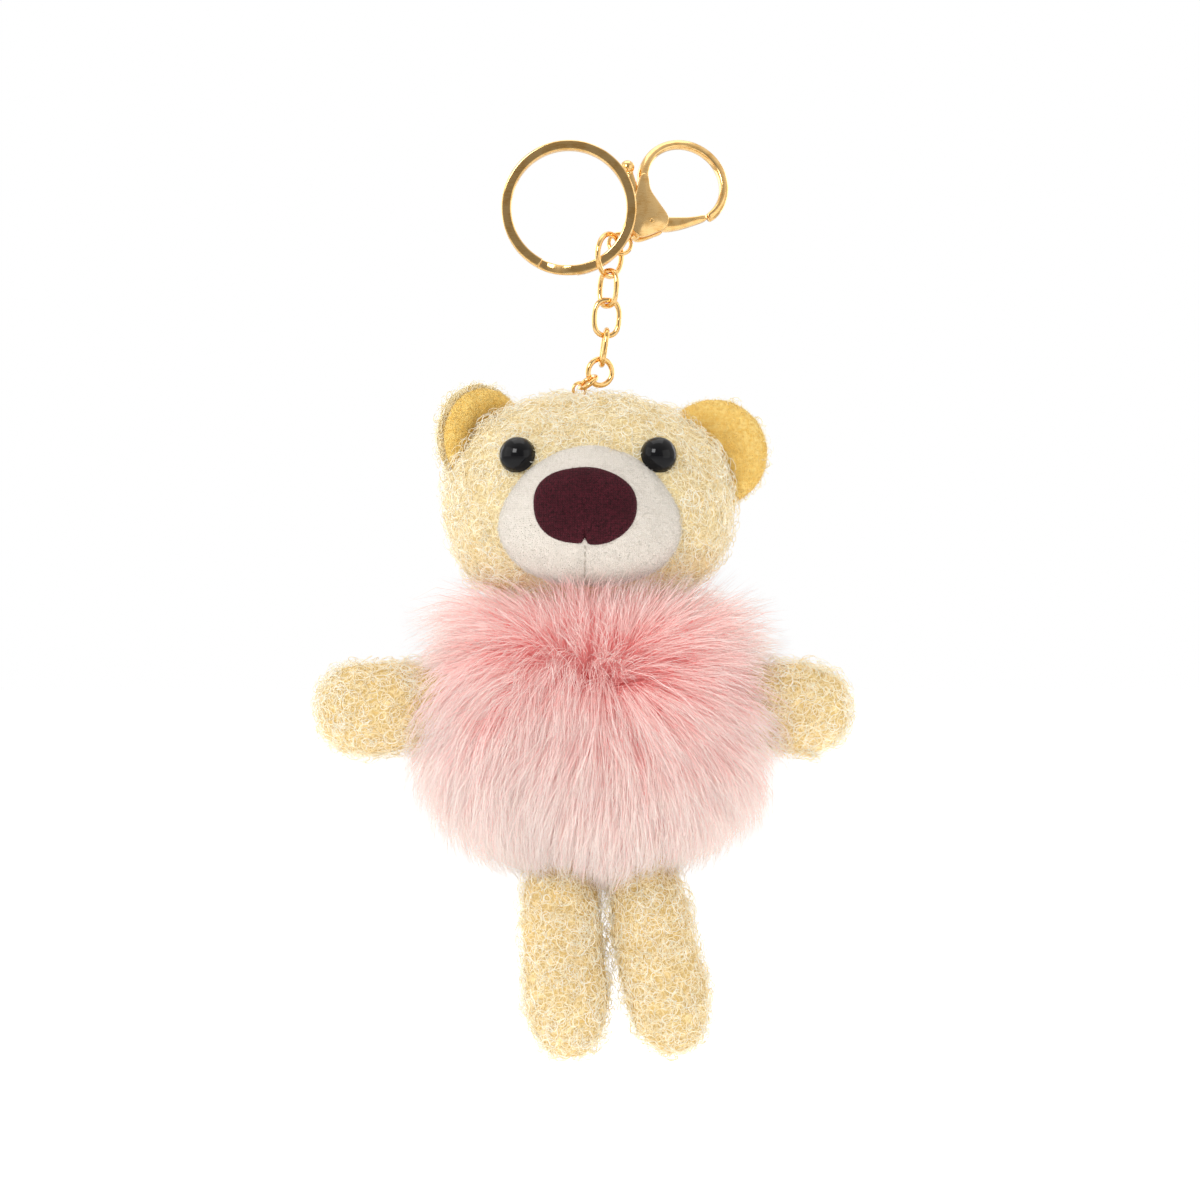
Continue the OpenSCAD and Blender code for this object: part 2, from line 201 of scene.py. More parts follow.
def scatter(p, count, seed, keep=None):
    """Random places on a grid surface whose columns wrap: points and normals. Each is a bilinear mix of the
    corners of a quad drawn by its share of the area, and keep says which stay."""
    rng = np.random.default_rng(seed)
    a, b = p[:-1], np.roll(p[:-1], -1, 1)
    d, c = p[1:], np.roll(p[1:], -1, 1)
    a, b, c, d = (x.reshape(-1, 3) for x in (a, b, c, d))
    normal = np.cross(c - a, d - b)
    area = np.linalg.norm(normal, axis=1)
    if np.einsum("ij,ij->i", normal, (a + c) / 2 - p.reshape(-1, 3).mean(0)).sum() < 0:
        normal = -normal
    k = rng.choice(len(area), count, p=area / area.sum())
    u, v = rng.random((2, count, 1))
    at = (a[k] * (1 - u) + b[k] * u) * (1 - v) + (d[k] * (1 - u) + c[k] * u) * v
    n = unit(normal[k])
    if keep is not None:
        good = keep(at, n)
        at, n = at[good], n[good]
    return at, n


def strands(name, paths, radii, materials, tones, body, slot, sides=3, limit=195000):
    """Fibres: a thin prism carried along each path (n, k, 3) with radii (n, k - 1), capped at its root and
    pointed at its end. tones (n, k - 1) numbers each stretch's material, and limit is a piece's triangles."""
    stations = paths.shape[1]
    s = np.arange(sides)
    per_fibre = sides * 2 * (stations - 2) + sides + sides - 2
    parts = int(np.ceil(len(paths) * per_fibre / limit))
    for part, rows in enumerate(np.array_split(np.arange(len(paths)), parts)):
        way, r, tone = paths[rows], radii[rows], tones[rows]
        n = len(way)
        rng = np.random.default_rng(part + 7)
        d = np.gradient(way, axis=1)[:, :-1]
        side = unit(np.cross(d, unit(rng.normal(size=(n, 1, 3)))))
        for k in range(1, stations - 1):
            before, along = side[:, k - 1], d[:, k]
            share = np.einsum("ij,ij->i", before, along) / np.einsum("ij,ij->i", along, along)
            side[:, k] = unit(before - along * share[:, None])
        other = unit(np.cross(d, side))
        rings = way[:, :-1, None] + r[..., None, None] * around(sides, side[:, :, None], other[:, :, None])
        points = np.concatenate([rings.reshape(n, -1, 3), way[:, -1:]], 1)
        per = points.shape[1]
        first = (np.arange(n) * per)[:, None, None]
        quads = wrapped_quads(stations - 1, sides)[None] + first
        last = (stations - 2) * sides
        tips = np.stack([last + s, last + (s + 1) % sides, np.full(sides, per - 1)], -1)[None] + first
        caps = s[::-1][None, None] + first
        faces = [quads.reshape(-1, 4), tips.reshape(-1, 3), caps.reshape(-1, sides)]
        numbers = np.concatenate([np.repeat(tone[:, :-1], sides), np.repeat(tone[:, -1], sides), tone[:, 0]])
        new_piece(f"{name}_{part + 1}" if parts > 1 else name, points.reshape(-1, 3), faces,
                  materials, body, slot=slot, tones=numbers)


# ---- shapes

def sweep(path, normal, section, closed=True):
    """Points (n, k, 3): section (k, 2) or (n, k, 2), across and along the normal, carried along the path.
    The across direction is the path's tangent turned a quarter round the normal."""
    if closed:
        tangent = np.roll(path, -1, 0) - np.roll(path, 1, 0)
    else:
        tangent = np.gradient(path, axis=0)
    across = unit(np.cross(unit(tangent), normal))
    section = np.broadcast_to(section, (len(path),) + np.shape(section)[-2:])
    return path[:, None] + section[..., :1] * across[:, None] + section[..., 1:] * unit(normal)


def round_section(r, n):
    """A circle of radius r as n points."""
    return r * around(n, [1, 0], [0, 1])


def soft_box_section(w, t, r, n=5):
    """A rectangle w by t with its corners rounded by r: n points round each corner."""
    turn = np.radians(np.linspace(0, 90, n))
    out = []
    for k, (sx, sy) in enumerate([(1, 1), (-1, 1), (-1, -1), (1, -1)]):
        a = turn + k * np.pi / 2
        out.append(np.stack([sx * (w / 2 - r) + r * np.cos(a), sy * (t / 2 - r) + r * np.sin(a)], -1))
    return np.concatenate(out)


def blunt_ends(path, section, bevel=0.12):
    """An open path and its section with both ends bevelled: two more stations at each end, drawn in."""
    section = np.broadcast_to(section, (len(path),) + np.shape(section)[-2:])
    ahead, behind = unit(path[0] - path[1]), unit(path[-1] - path[-2])
    scale = 1 - bevel / np.abs(section[[0, -1]]).max(axis=(1, 2))
    path = np.concatenate([[path[0] + ahead * bevel], path, [path[-1] + behind * bevel]])
    section = np.concatenate([section[:1] * scale[0], section, section[-1:] * scale[1]])
    return path, section


def spindle(start, axis, profile, columns, ref=UP):
    """A turned shape: profile rows (distance along the axis, radius), spun about the axis from start."""
    axis = unit(axis)
    u = unit(np.cross(axis, ref + np.array([0.01, 0.02, 0])))
    v = np.cross(axis, u)
    profile = np.asarray(profile, float)[:, None]
    return start + profile[..., :1] * axis + profile[..., 1:] * around(columns, u, v)


def loop_curve(corners, per=8):
    """A smooth closed curve through 2-D corners: Catmull-Rom between each two."""
    c = np.asarray(corners, float)
    a, b, d, e = (np.roll(c, k, 0)[:, None] for k in (1, 0, -1, -2))
    t = (np.arange(per) / per)[None, :, None]
    curve = 2 * b + (d - a) * t + (2 * a - 5 * b + 4 * d - e) * t ** 2 + (3 * b - a - 3 * d + e) * t ** 3
    return 0.5 * curve.reshape(-1, 2)


def plate(outline, low, high, bevel, steps=3):
    """A flat plate with rounded edges, in clasp coordinates: the outline (k, 2) at heights from low to high,
    drawn in towards both faces along a quarter circle of the bevel's radius."""
    tangent = np.roll(outline, -1, 0) - np.roll(outline, 1, 0)
    inner = unit(np.stack([-tangent[:, 1], tangent[:, 0]], -1))
    if np.sum((outline - outline.mean(0)) * inner) > 0:
        inner = -inner
    turn = np.radians(np.linspace(0, 90, steps + 1))
    drawn = np.concatenate([bevel * (1 - np.sin(turn)), bevel * (1 - np.sin(turn[::-1]))])
    height = np.concatenate([low + bevel * (1 - np.cos(turn)), high - bevel * (1 - np.cos(turn[::-1]))])
    rows = outline[None] + inner[None] * drawn[:, None, None]
    flat = np.concatenate([rows, np.broadcast_to(height[:, None, None], rows.shape[:2] + (1,))], -1)
    return in_clasp(closed_grid(flat))


# ---- materials

def feed(tree, socket, value):
    """Links the socket to another one, or gives it a plain value."""
    if isinstance(value, bpy.types.NodeSocket):
        tree.links.new(value, socket)
    else:
        socket.default_value = value


def feed_all(tree, sockets, **values):
    """Feeds sockets by name, with _ for a blank."""
    for key, value in values.items():
        feed(tree, sockets[key.replace("_", " ")], value)


def add(tree, kind, **values):
    """A node whose own fields and whose sockets are set by name."""
    node = tree.nodes.new("ShaderNode" + kind)
    for key, value in values.items():
        if hasattr(node, key):
            setattr(node, key, value)
        else:
            feed_all(tree, node.inputs, **{key: value})
    return node


def maths(tree, operation, *terms, kind="Math"):
    """The result of a Math or VectorMath node on sockets or plain values."""
    node = add(tree, kind, operation=operation)
    for socket, term in zip(node.inputs, terms):
        feed(tree, socket, term)
    return node.outputs[0]


def noise(tree, place, scale, detail, output="Fac"):
    return add(tree, "TexNoise", Vector=place, Scale=scale, Detail=detail).outputs[output]


def bumped(tree, height, strength, distance):
    return add(tree, "Bump", Height=height, Strength=strength, Distance=distance).outputs["Normal"]


def loosened(tree, place, scale, reach):
    """The place moved each way by a noise of that scale times the reach."""
    drift = noise(tree, place, scale, 2.0, "Color")
    return maths(tree, "MULTIPLY_ADD", drift, (reach,) * 3, place, kind="VectorMath")


def mixed(tree, factor, a, b):
    """A colour between a and b by factor."""
    node = add(tree, "Mix", data_type="RGBA")
    sockets = {s.identifier: s for s in (*node.inputs, *node.outputs)}
    for key, value in (("Factor_Float", factor), ("A_Color", a), ("B_Color", b)):
        feed(tree, sockets[key], value)
    return sockets["Result_Color"]


def stretched(tree, value, low, high, to_low=0.0, to_high=1.0):
    """The value with low to high stretched to to_low to to_high, and held at those outside."""
    node = add(tree, "MapRange", Value=value, From_Min=low, From_Max=high, To_Min=to_low, To_Max=to_high)
    return node.outputs["Result"]


def node_group(name, build, outputs, **inputs):
    """A shader node group with number inputs and their values. Its outputs are a Normal and masks, and
    build(tree, inputs) makes its nodes and returns what feeds each output."""
    tree = bpy.data.node_groups.new(name, "ShaderNodeTree")
    for key, value in inputs.items():
        tree.interface.new_socket(key, in_out="INPUT", socket_type="NodeSocketFloat").default_value = value
    for key in outputs:
        kind = "NodeSocketVector" if key == "Normal" else "NodeSocketFloat"
        tree.interface.new_socket(key, in_out="OUTPUT", socket_type=kind)
    into, out = tree.nodes.new("NodeGroupInput"), tree.nodes.new("NodeGroupOutput")
    for key, source in zip(outputs, build(tree, into.outputs)):
        tree.links.new(source, out.inputs[key])
    return tree


def metal_wear(tree, into):
    """Polished plated metal: slow clouds times fine hair scratches roughen it, and it is slightly wavy."""
    place = add(tree, "TexCoord").outputs["Object"]
    drawn_out = add(tree, "Mapping", Vector=place, Scale=(900.0, 900.0, 9000.0)).outputs["Vector"]
    mask = maths(tree, "MULTIPLY", noise(tree, place, 420.0, 3.0), noise(tree, drawn_out, 1.0, 2.0))
    rough = maths(tree, "MULTIPLY_ADD", mask, into["Spread"], into["Roughness"])
    return rough, mask, bumped(tree, noise(tree, place, 260.0, 1.0), into["Waviness"], 0.0004)


def knit_cloth(tree, into):
    """Fine knit: two crossed waves loosened by noise make rows of stitches, and fuzz lies over them."""
    place = add(tree, "TexCoord").outputs["Object"]
    moved = loosened(tree, place, 300.0, 0.0009)
    bands = [add(tree, "TexWave", Vector=moved, Scale=into["Scale"], bands_direction=way, Distortion=1.5,
                 Detail=1.0).outputs["Fac"] for way in "ZX"]
    stitch = maths(tree, "MULTIPLY", *bands)
    fuzz = noise(tree, place, into["Grain"], 3.0)
    height = maths(tree, "MULTIPLY_ADD", fuzz, into["Fuzz"], stitch)
    patch = stretched(tree, noise(tree, place, 130.0, 4.0), 0.35, 0.65)
    return bumped(tree, height, into["Depth"], 0.00035), stitch, patch, stretched(tree, fuzz, 0.32, 0.68)


def boucle_curls(tree, into):
    """Low curls of yarn: the sine of the distance to the nearest of scattered points, at two sizes."""
    place = add(tree, "TexCoord").outputs["Object"]
    moved = loosened(tree, place, 520.0, 0.0011)
    rings = []
    for share in (1.0, 1.55):
        scale = maths(tree, "MULTIPLY", into["Scale"], share)
        cells = add(tree, "TexVoronoi", Vector=moved, Scale=scale).outputs["Distance"]
        rings.append(maths(tree, "SINE", maths(tree, "MULTIPLY", cells, into["Rings"])))
    ridge = stretched(tree, maths(tree, "MAXIMUM", *rings), -0.3, 1.0)
    patch = stretched(tree, noise(tree, place, 160.0, 3.0), 0.35, 0.65)
    return bumped(tree, ridge, into["Depth"], 0.0005), ridge, patch


METAL_WEAR = node_group("metal_wear", metal_wear, ("Roughness", "Tarnish", "Normal"),
                        Roughness=0.1, Spread=0.3, Waviness=0.1)
KNIT = node_group("knit_cloth", knit_cloth, ("Normal", "Stitch", "Patch", "Fleck"),
                  Scale=400.0, Depth=0.5, Fuzz=0.6, Grain=3200.0)
BOUCLE = node_group("boucle_curls", boucle_curls, ("Normal", "Ridge", "Patch"),
                    Scale=500.0, Rings=14.0, Depth=0.7)


def rgb(code):
    """Linear colour from a six-digit code."""
    c = np.array([int(code[k:k + 2], 16) for k in (0, 2, 4)]) / 255
    return tuple(np.where(c <= 0.04045, c / 12.92, ((c + 0.055) / 1.055) ** 2.4)) + (1.0,)


def finish_of(name, **values):
    """A material with one Principled shader, its plain sockets set by name: material, nodes and sockets."""
    material = bpy.data.materials.new(name)
    material.use_nodes = True
    tree = material.node_tree
    shader = tree.nodes["Principled BSDF"].inputs
    feed_all(tree, shader, **values)
    return material, tree, shader


def use_group(tree, group, **values):
    """The outputs of a node that places the group with its own values."""
    node = add(tree, "Group", node_tree=group)
    feed_all(tree, node.inputs, **values)
    return node.outputs


def plated(name, bright, dull, rough, spread, waviness):
    """Plated metal, its colour drifting from bright to dull with the tarnish."""
    material, tree, shader = finish_of(name, Metallic=1.0)
    wear = use_group(tree, METAL_WEAR, Roughness=rough, Spread=spread, Waviness=waviness)
    colour = mixed(tree, stretched(tree, wear["Tarnish"], 0.2, 0.4), rgb(bright), rgb(dull))
    feed_all(tree, shader, Base_Color=colour, Roughness=wear["Roughness"], Normal=wear["Normal"])
    return material


def cloth_finish(name, high, low, stain, scale, depth, fuzz, sheen=0.0, tint="ffffff", grain=3200.0, nap=0.0):
    """Knit or velour: colour from low in the stitches to high on them, a share of it (nap) from the grain of
    the pile instead, mottled with patches of the stain colour."""
    material, tree, shader = finish_of(name, Roughness=0.9, Sheen_Weight=sheen, Sheen_Roughness=0.5,
                                       Sheen_Tint=rgb(tint), Specular_IOR_Level=0.2)
    knit = use_group(tree, KNIT, Scale=scale, Depth=depth, Fuzz=fuzz, Grain=grain)
    part = maths(tree, "MULTIPLY", knit["Stitch"], 1 - nap)
    ground = mixed(tree, maths(tree, "MULTIPLY_ADD", knit["Fleck"], nap, part), rgb(low), rgb(high))
    stained = mixed(tree, maths(tree, "MULTIPLY", knit["Patch"], 0.55), ground, rgb(stain))
    feed_all(tree, shader, Base_Color=stained, Normal=knit["Normal"])
    return material


def boucle_finish(name, high, low, stain, glow):
    """Curled cloth: colour from low between the rings of yarn to high on them, the low partly the cloth's
    deeper ground and partly painted shade in the dips, patches of the stain colour, and a faint glow in place
    of the light that scatters through the yarn."""
    material, tree, shader = finish_of(name, Roughness=0.85, Specular_IOR_Level=0.2, Emission_Strength=glow)
    curled = use_group(tree, BOUCLE, Scale=480.0)
    # darker between the rings of yarn: partly the cloth's deeper ground, partly painted shade in the dips
    ground = mixed(tree, curled["Ridge"], rgb(low), rgb(high))
    colour = mixed(tree, maths(tree, "MULTIPLY", curled["Patch"], 0.4), ground, rgb(stain))
    feed_all(tree, shader, Base_Color=colour, Emission_Color=colour, Normal=curled["Normal"])
    return material


def fibre(name, code, rough=0.55, sheen=0.3, glow=0.0):
    """A fibre's plain colour, and a faint glow in place of the light that scatters through it."""
    return finish_of(name, Base_Color=rgb(code), Roughness=rough, Sheen_Weight=sheen, Specular_IOR_Level=0.25,
                     Emission_Color=rgb(code), Emission_Strength=glow)[0]


def bead_glass(name):
    """Black glass, very lightly clouded."""
    material, tree, shader = finish_of(name, Base_Color=(0.004, 0.004, 0.005, 1.0), Specular_IOR_Level=0.22)
    wear = use_group(tree, METAL_WEAR, Roughness=0.03, Spread=0.06, Waviness=0.03)
    feed_all(tree, shader, Roughness=wear["Roughness"])
    return material


GOLD = plated("polished_gold", "f2ca8a", "dcab62", 0.06, 0.14, 0.06)
CAST_GOLD = plated("cast_gold", "f0ca8c", "d8a862", 0.10, 0.22, 0.12)
STEEL = plated("spring_wire_steel", "cfcac0", "a39c90", 0.2, 0.3, 0.1)
BEAD = bead_glass("bead_black_glass")
WASHER = finish_of("washer_plastic", Base_Color=rgb("f2f0ea"), Roughness=0.35)[0]
GROUND = boucle_finish("boucle_ground", "f8e9c0", "dfc48a", "efdaa6", 0.04)
LIMB_GROUND = boucle_finish("limb_boucle_ground", "f5dfaa", "dbba76", "e9c98a", 0.05)
WHITE_PILE = cloth_finish("muzzle_white_pile", "e3ddd5", "cfc6bb", "d9d1c7", 640.0, 0.25, 1.0,
                          sheen=0.2, grain=1500.0, nap=0.6)
NOSE_CLOTH = cloth_finish("nose_velour", "5e1d2b", "160508", "2c0911", 620.0, 0.45, 0.9,
                          sheen=0.1, tint="b86a78", grain=1700.0, nap=0.6)
EAR_CLOTH = cloth_finish("ear_golden_velour", "ffe79a", "e8ba57", "f3cb6c", 900.0, 0.5, 1.6,
                         sheen=0.3, tint="fff0c0", grain=1300.0, nap=0.85)
FUR_SKIN = cloth_finish("fur_backing", "f2a5a3", "e28886", "ea9694", 700.0, 0.5, 0.8)
THREAD = cloth_finish("cream_thread", "f7ecce", "d9c391", "f7ecce", 2600.0, 0.8, 0.6, sheen=0.2)
SEAM_THREAD = cloth_finish("muzzle_thread", "ece3d5", "cfc3b2", "ece3d5", 2600.0, 0.8, 0.6, sheen=0.2)
YARN_COLOURS = {"ivory": "fffaea", "cream": "fdf2d4", "straw": "f9e8be", "honey": "f0d79a"}
YARN_SHARES = [0.34, 0.36, 0.2, 0.1]
CURL_TONES = [fibre("curl_" + name, code, 0.42, 0.3, 0.07) for name, code in YARN_COLOURS.items()]
MUZZLE_FIBRE = fibre("muzzle_fibre", "ebe6dd")
EAR_FIBRE = fibre("ear_fibre", "fad97e")
NOSE_FIBRE = fibre("nose_fibre", "5c1b2b", 0.8, 0.05)


def recolour(node, material):
    """A CAD node that keeps its shape takes another material."""
    data = frame["nodes"][node].data
    data.materials.clear()
    data.materials.append(material)


# ---- rings and chain

def split_ring_shape():
    """Flat wire in two turns: angle a runs 686 degrees round the ring; the wire lies in the rear layer up to
    the joggle and in the front layer after it, and crosses over along 3x^2 - 2x^3."""
    low, high = box_mm("split_ring")
    outer = (high[0] - low[0]) / 2
    wire_w, wire_t = 2.2, (high[1] - low[1] - 0.1) / 2
    turned = np.arange(-443, 243.5, 1.5)
    layer = smooth((turned + 114) / 28)
    a = np.radians(turned)
    r = outer - wire_w / 2
    offset = (wire_t + 0.1) * (0.5 - layer)
    middle = (low + high) / 2
    path = middle + np.stack([r * np.cos(a), offset, r * np.sin(a)], -1)
    section = soft_box_section(wire_w, wire_t, 0.34)
    path, section = blunt_ends(path, section, 0.12)
    return closed_grid(sweep(path, FRONT, section, closed=False))


def wire_loop(node, wire_r, seam_at, power=2.0, dip=0.22, n=144):
    """A loop of round wire where the CAD one is: its middle follows |x/a|^p + |y/b|^p = 1, and the butt seam
    thins the wire by the dip times exp(-(distance / 0.09)^2)."""
    middle, axes, size = axes_of(node)
    a, b = size[0] / 2 - wire_r, size[1] / 2 - wire_r
    t = turns(n)
    reach = (np.abs(np.cos(t) / a) ** power + np.abs(np.sin(t) / b) ** power) ** (-1 / power)
    path = middle + reach[:, None] * around(n, *axes[:2])
    thick = wire_r * (1 - dip * np.exp(-((t - seam_at) * b / 0.09) ** 2))
    return ring_grid(sweep(path, axes[2], round_section(1.0, 20) * thick[:, None, None]))


def gold_piece(name, shape, body, node, finish=GOLD):
    """A piece of plated hardware that stands for one CAD node."""
    new_piece(name, *shape, [finish], body, [node], "gold")


gold_piece("split_ring_wire", split_ring_shape(), "key_ring", "split_ring")
gold_piece("connector_ring_wire", wire_loop("connector_ring", 0.6, 3.9), "connector", "connector_ring")
for k in (1, 2, 3):
    link = wire_loop(f"chain_link_{k}", 0.6, np.pi / 2, power=2.6, dip=0.25, n=160)
    gold_piece(f"oval_link_wire_{k}", link, f"link_{k}", f"chain_link_{k}")
gold_piece("round_link_wire", wire_loop("chain_link_4", 0.6, 0.6), "link_4", "chain_link_4")
gold_piece("crown_ring_wire", wire_loop("head_ring", 0.55, 2.2), "head", "head_ring")
gold_piece("hanging_wire_loop", wire_loop("hanging_loop", 0.35, 5.0), "head", "hanging_loop")

# ---- swivel, clasp and gate

SWIVEL = JOINT_AT["clasp_swivel"]
S_WAY = JOINT_AXIS["clasp_swivel"]
N_WAY = JOINT_AXIS["gate_open"]
P_WAY = unit(np.cross(N_WAY, S_WAY))


def clasp_place(q):
    """Clasp coordinates into the frame: s along the swivel, p towards the thumb ball, n to the front."""
    return SWIVEL + q[..., :1] * S_WAY + q[..., 1:2] * P_WAY + q[..., 2:] * N_WAY


def in_clasp(shape):
    """A shape in clasp coordinates put into the frame."""
    points, faces = shape
    return clasp_place(points), faces


def swivel_eye_shape():
    """The eye's ring, its post with a flared neck, and the rivet head inside the clasp."""
    tilt = np.radians(-8)
    v = np.cos(tilt) * P_WAY + np.sin(tilt) * N_WAY
    n = np.cross(S_WAY, v)
    ring = ring_grid(sweep(SWIVEL + 2.5 * around(72, S_WAY, v), n, round_section(0.45, 16)))
    rows = [(2.3, 0.3), (2.5, 0.62), (2.9, 0.7), (3.3, 0.68), (5.25, 0.68),
            (5.3, 1.1), (5.4, 1.15), (5.8, 1.15), (5.9, 1.05)]
    post = closed_grid(spindle(SWIVEL, S_WAY, rows, 32))
    return together(ring, post)


def clasp_casting_shape():
    """The hook, the two cheeks with the gate's slot between them, and the round neck of the swivel. The
    hook's wire follows a circle of radius 9.6, its section a rounded wedge that widens into the cheeks."""
    a = np.radians(np.linspace(-100, 152, 110))
    deg = np.degrees(a)
    flat = np.stack([21.9 + 9.6 * np.cos(a), 9.6 * np.sin(a), 0 * a], -1)
    widen = smooth((deg - 70) / 75)
    t = turns(24)
    across = np.sign(np.cos(t)) * np.abs(np.cos(t)) ** 0.8
    thick = np.sign(np.sin(t)) * np.abs(np.sin(t)) ** 0.7
    ridge = 1 - 0.25 * np.cos(t)
    section = np.stack([(1.03 + 0.12 * widen)[:, None] * across,
                        (1.03 + 0.95 * widen)[:, None] * thick * ridge], -1)
    section *= (0.9 + 0.1 * smooth((deg + 100) / 6))[:, None, None]
    path, section = blunt_ends(flat, section, 0.15)
    hook = in_clasp(closed_grid(sweep(path, UP, section, closed=False)))
    outline = loop_curve([(4.0, -2.0), (8.0, -4.0), (10.3, -4.55), (12.5, -3.2), (13.4, 0.6), (14.2, 3.9),
                          (16.2, 6.7), (15.2, 7.9), (11.1, 5.8), (6.8, 3.4), (4.0, 2.0)])
    front = plate(outline, 0.95, 2.1, 0.35)
    back = plate(outline, -2.1, -0.95, 0.35)
    heel = [(14.0, 4.6), (16.0, 6.4), (16.4, 7.2), (15.2, 7.9), (13.6, 6.9)]
    heel = plate(loop_curve(heel, 6), -1.6, 1.6, 0.3)
    outside = [(3.5, 1.2), (3.52, 1.7), (3.75, 1.9), (4.4, 2.02), (5.6, 2.06), (6.3, 2.06), (6.55, 1.9),
               (6.6, 1.5)]
    bore = [(6.55, 1.28), (5.2, 1.26), (5.15, 0.78), (3.7, 0.76), (3.5, 0.8)]
    neck = ring_grid(spindle(SWIVEL, S_WAY, outside + bore, 40))
    return together(hook, front, back, heel, neck)


def gate_lever_shape():
    """The gate: a tapered flat bar, a hub round the pin, and a bent arm that ends in the thumb ball."""
    bar = loop_curve([(9.4, -2.4), (9.9, -4.6), (12.6, -6.55), (15.6, -8.0), (19.2, -9.4), (19.65, -8.9),
                      (19.6, -8.2), (16.8, -6.4), (12.8, -3.0), (10.8, -1.6)])
    bar = plate(bar, -0.85, 0.85, 0.28)
    hub = plate(round_section(1.85, 48) + [8.8, -1.3], -0.85, 0.85, 0.15)
    k = np.linspace(0, 1, 30)[:, None]
    a, b, c = np.array([(8.8, -1.3, 0), (11.6, 6.4, 0), (14.75, 11.1, 0)])
    path = a * (1 - k) ** 2 + 2 * b * k * (1 - k) + c * k ** 2
    arm = in_clasp(closed_grid(sweep(path, UP, soft_box_section(1.5, 1.7, 0.35), closed=False)))
    angle = np.radians(np.linspace(2, 178, 24))
    way = unit(clasp_place(c) - clasp_place(b))
    ball_at = clasp_place(np.array([14.9, 11.4, 0]))
    ball = closed_grid(spindle(ball_at, way, np.stack([-1.6 * np.cos(angle), 1.6 * np.sin(angle)], -1), 36))
    rows = [(-2.0, 0.7), (-1.95, 0.95), (-1.6, 1.0), (-1.3, 1.0), (-1.2, 0.8)]
    collar = closed_grid(spindle(ball_at, way, rows, 32))
    return together(bar, hub, arm, ball, collar)


def rivet_shape():
    """The gate's pin, its ends bevelled and a hair proud of the cheeks."""
    rows = [(-2.17, 0.3), (-2.15, 0.44), (-2.1, 0.5), (2.1, 0.5), (2.15, 0.44), (2.17, 0.3)]
    return closed_grid(spindle(JOINT_AT["gate_open"], N_WAY, rows, 28))


gold_piece("swivel_eye_forging", swivel_eye_shape(), "swivel", "swivel_eye")
gold_piece("clasp_casting", clasp_casting_shape(), "clasp", "clasp_body", CAST_GOLD)
gold_piece("clasp_gate_lever", gate_lever_shape(), "gate", "clasp_gate")
gold_piece("gate_rivet", rivet_shape(), "clasp", "gate_pin")
recolour("gate_spring", STEEL)

# ---- the bear's stuffed bodies

HEAD_LOW, HEAD_HIGH = box_mm("head_stuffing")
SHELL = 1.65  # the head cover's thickness
MUZZLE_Y = -17.0  # the muzzle egg's middle
HEAD_AT = centre_of("head_stuffing")
HEAD_AT[1] = 0.0
HEAD_A = (HEAD_HIGH[0] - HEAD_LOW[0]) / 2 + SHELL
HEAD_B = (HEAD_HIGH[1] - HEAD_LOW[1]) / 2 + SHELL
HEAD_AT[2] = HEAD_LOW[2] - SHELL + HEAD_B
MUZZLE_AT = centre_of("muzzle_stuffing")
MUZZLE_AT[1] = MUZZLE_Y
MUZZLE_B = MUZZLE_Y - box_mm("muzzle_cover")[0][1]
MUZZLE_A = MUZZLE_B * 20.6 / 15.6
NOSE_LOW, NOSE_HIGH = box_mm("nose")
NOSE_AT = centre_of("nose")
FUR_AT = centre_of("fur_cover")
EYES = {side: centre_of("eye_" + side) for side in ("left", "right")}


def egg_share(p, at, a, b):
    """How far p is out from the middle of an egg spun about X, as a share of the way to its surface."""
    q = (p - at) / np.array([a, b, b])
    return np.linalg.norm(q, axis=-1)


def polar_ways(low, high, rows, columns):
    """A grid of ways as cos t, sin t cos f and sin t sin f: t from low to high degrees, f all round."""
    t = np.radians(np.linspace(low, high, rows))[:, None]
    f = turns(columns)
    return np.cos(t) + 0 * f, np.sin(t) * np.cos(f), np.sin(t) * np.sin(f)


def head_surface(rows=72, columns=96):
    """The head's cloth: (|x/a|^p + (r/b)^p)^(1/p) = 1 about X, where p is 2.1 above and 2.9 below, so the
    cheeks are full, and lumps of stuffing move the surface by up to 0.45 mm."""
    x, y, z = polar_ways(2, 178, rows, columns)
    way = np.stack([-x, y, z], -1)
    p = 2.1 + 0.8 * smooth(0.3 - way[..., 2])
    reach = (np.abs(way[..., 0] / (HEAD_A - 1)) ** p
             + (np.hypot(way[..., 1], way[..., 2]) / (HEAD_B - 1)) ** p) ** (-1 / p)
    at = HEAD_AT + way * reach[..., None]
    return at + way * 0.45 * waves(at, 13.0, 3)[..., None]


def limb_surface(root, way, length, radius, seed, rows=60, columns=48):
    """A stuffed limb along its way: radius r sqrt(1 - (2u - 1)^4) (0.78 + 0.22 sin 90u), u from 0 to 1 along
    it, with lumps of 0.4 mm."""
    u = (1 - np.cos(np.pi * np.linspace(0.02, 0.98, rows))) / 2
    r = (radius - 0.9) * np.sqrt(1 - (2 * u - 1) ** 4) * (0.78 + 0.22 * np.sin(np.pi / 2 * u))
    p = spindle(root, way, np.stack([length * u, r], -1), columns, ref=FRONT)
    axis_point = root + (u * length)[:, None, None] * unit(way)
    out = unit(p - axis_point)
    return p + out * 0.4 * waves(p, 9.0, seed)[..., None]


def disc_surface(at, turn, radius, front, rows=20, columns=56):
    """An ear's half: a disc facing -Y turned about Z, puffed by front(share of the radius), flat behind."""
    out = np.linspace(0.04, 1, rows)
    share = np.concatenate([out, out[::-1]])
    depth = np.concatenate([front(out), np.zeros(rows)])
    f = turns(columns)
    x = radius * share[:, None] * np.cos(f)
    z = radius * share[:, None] * np.sin(f)
    y = depth[:, None] + 0 * x
    c, s = np.cos(np.radians(turn)), np.sin(np.radians(turn))
    return at + np.stack([c * x - s * y, s * x + c * y, z], -1)


# ---- curly cloth

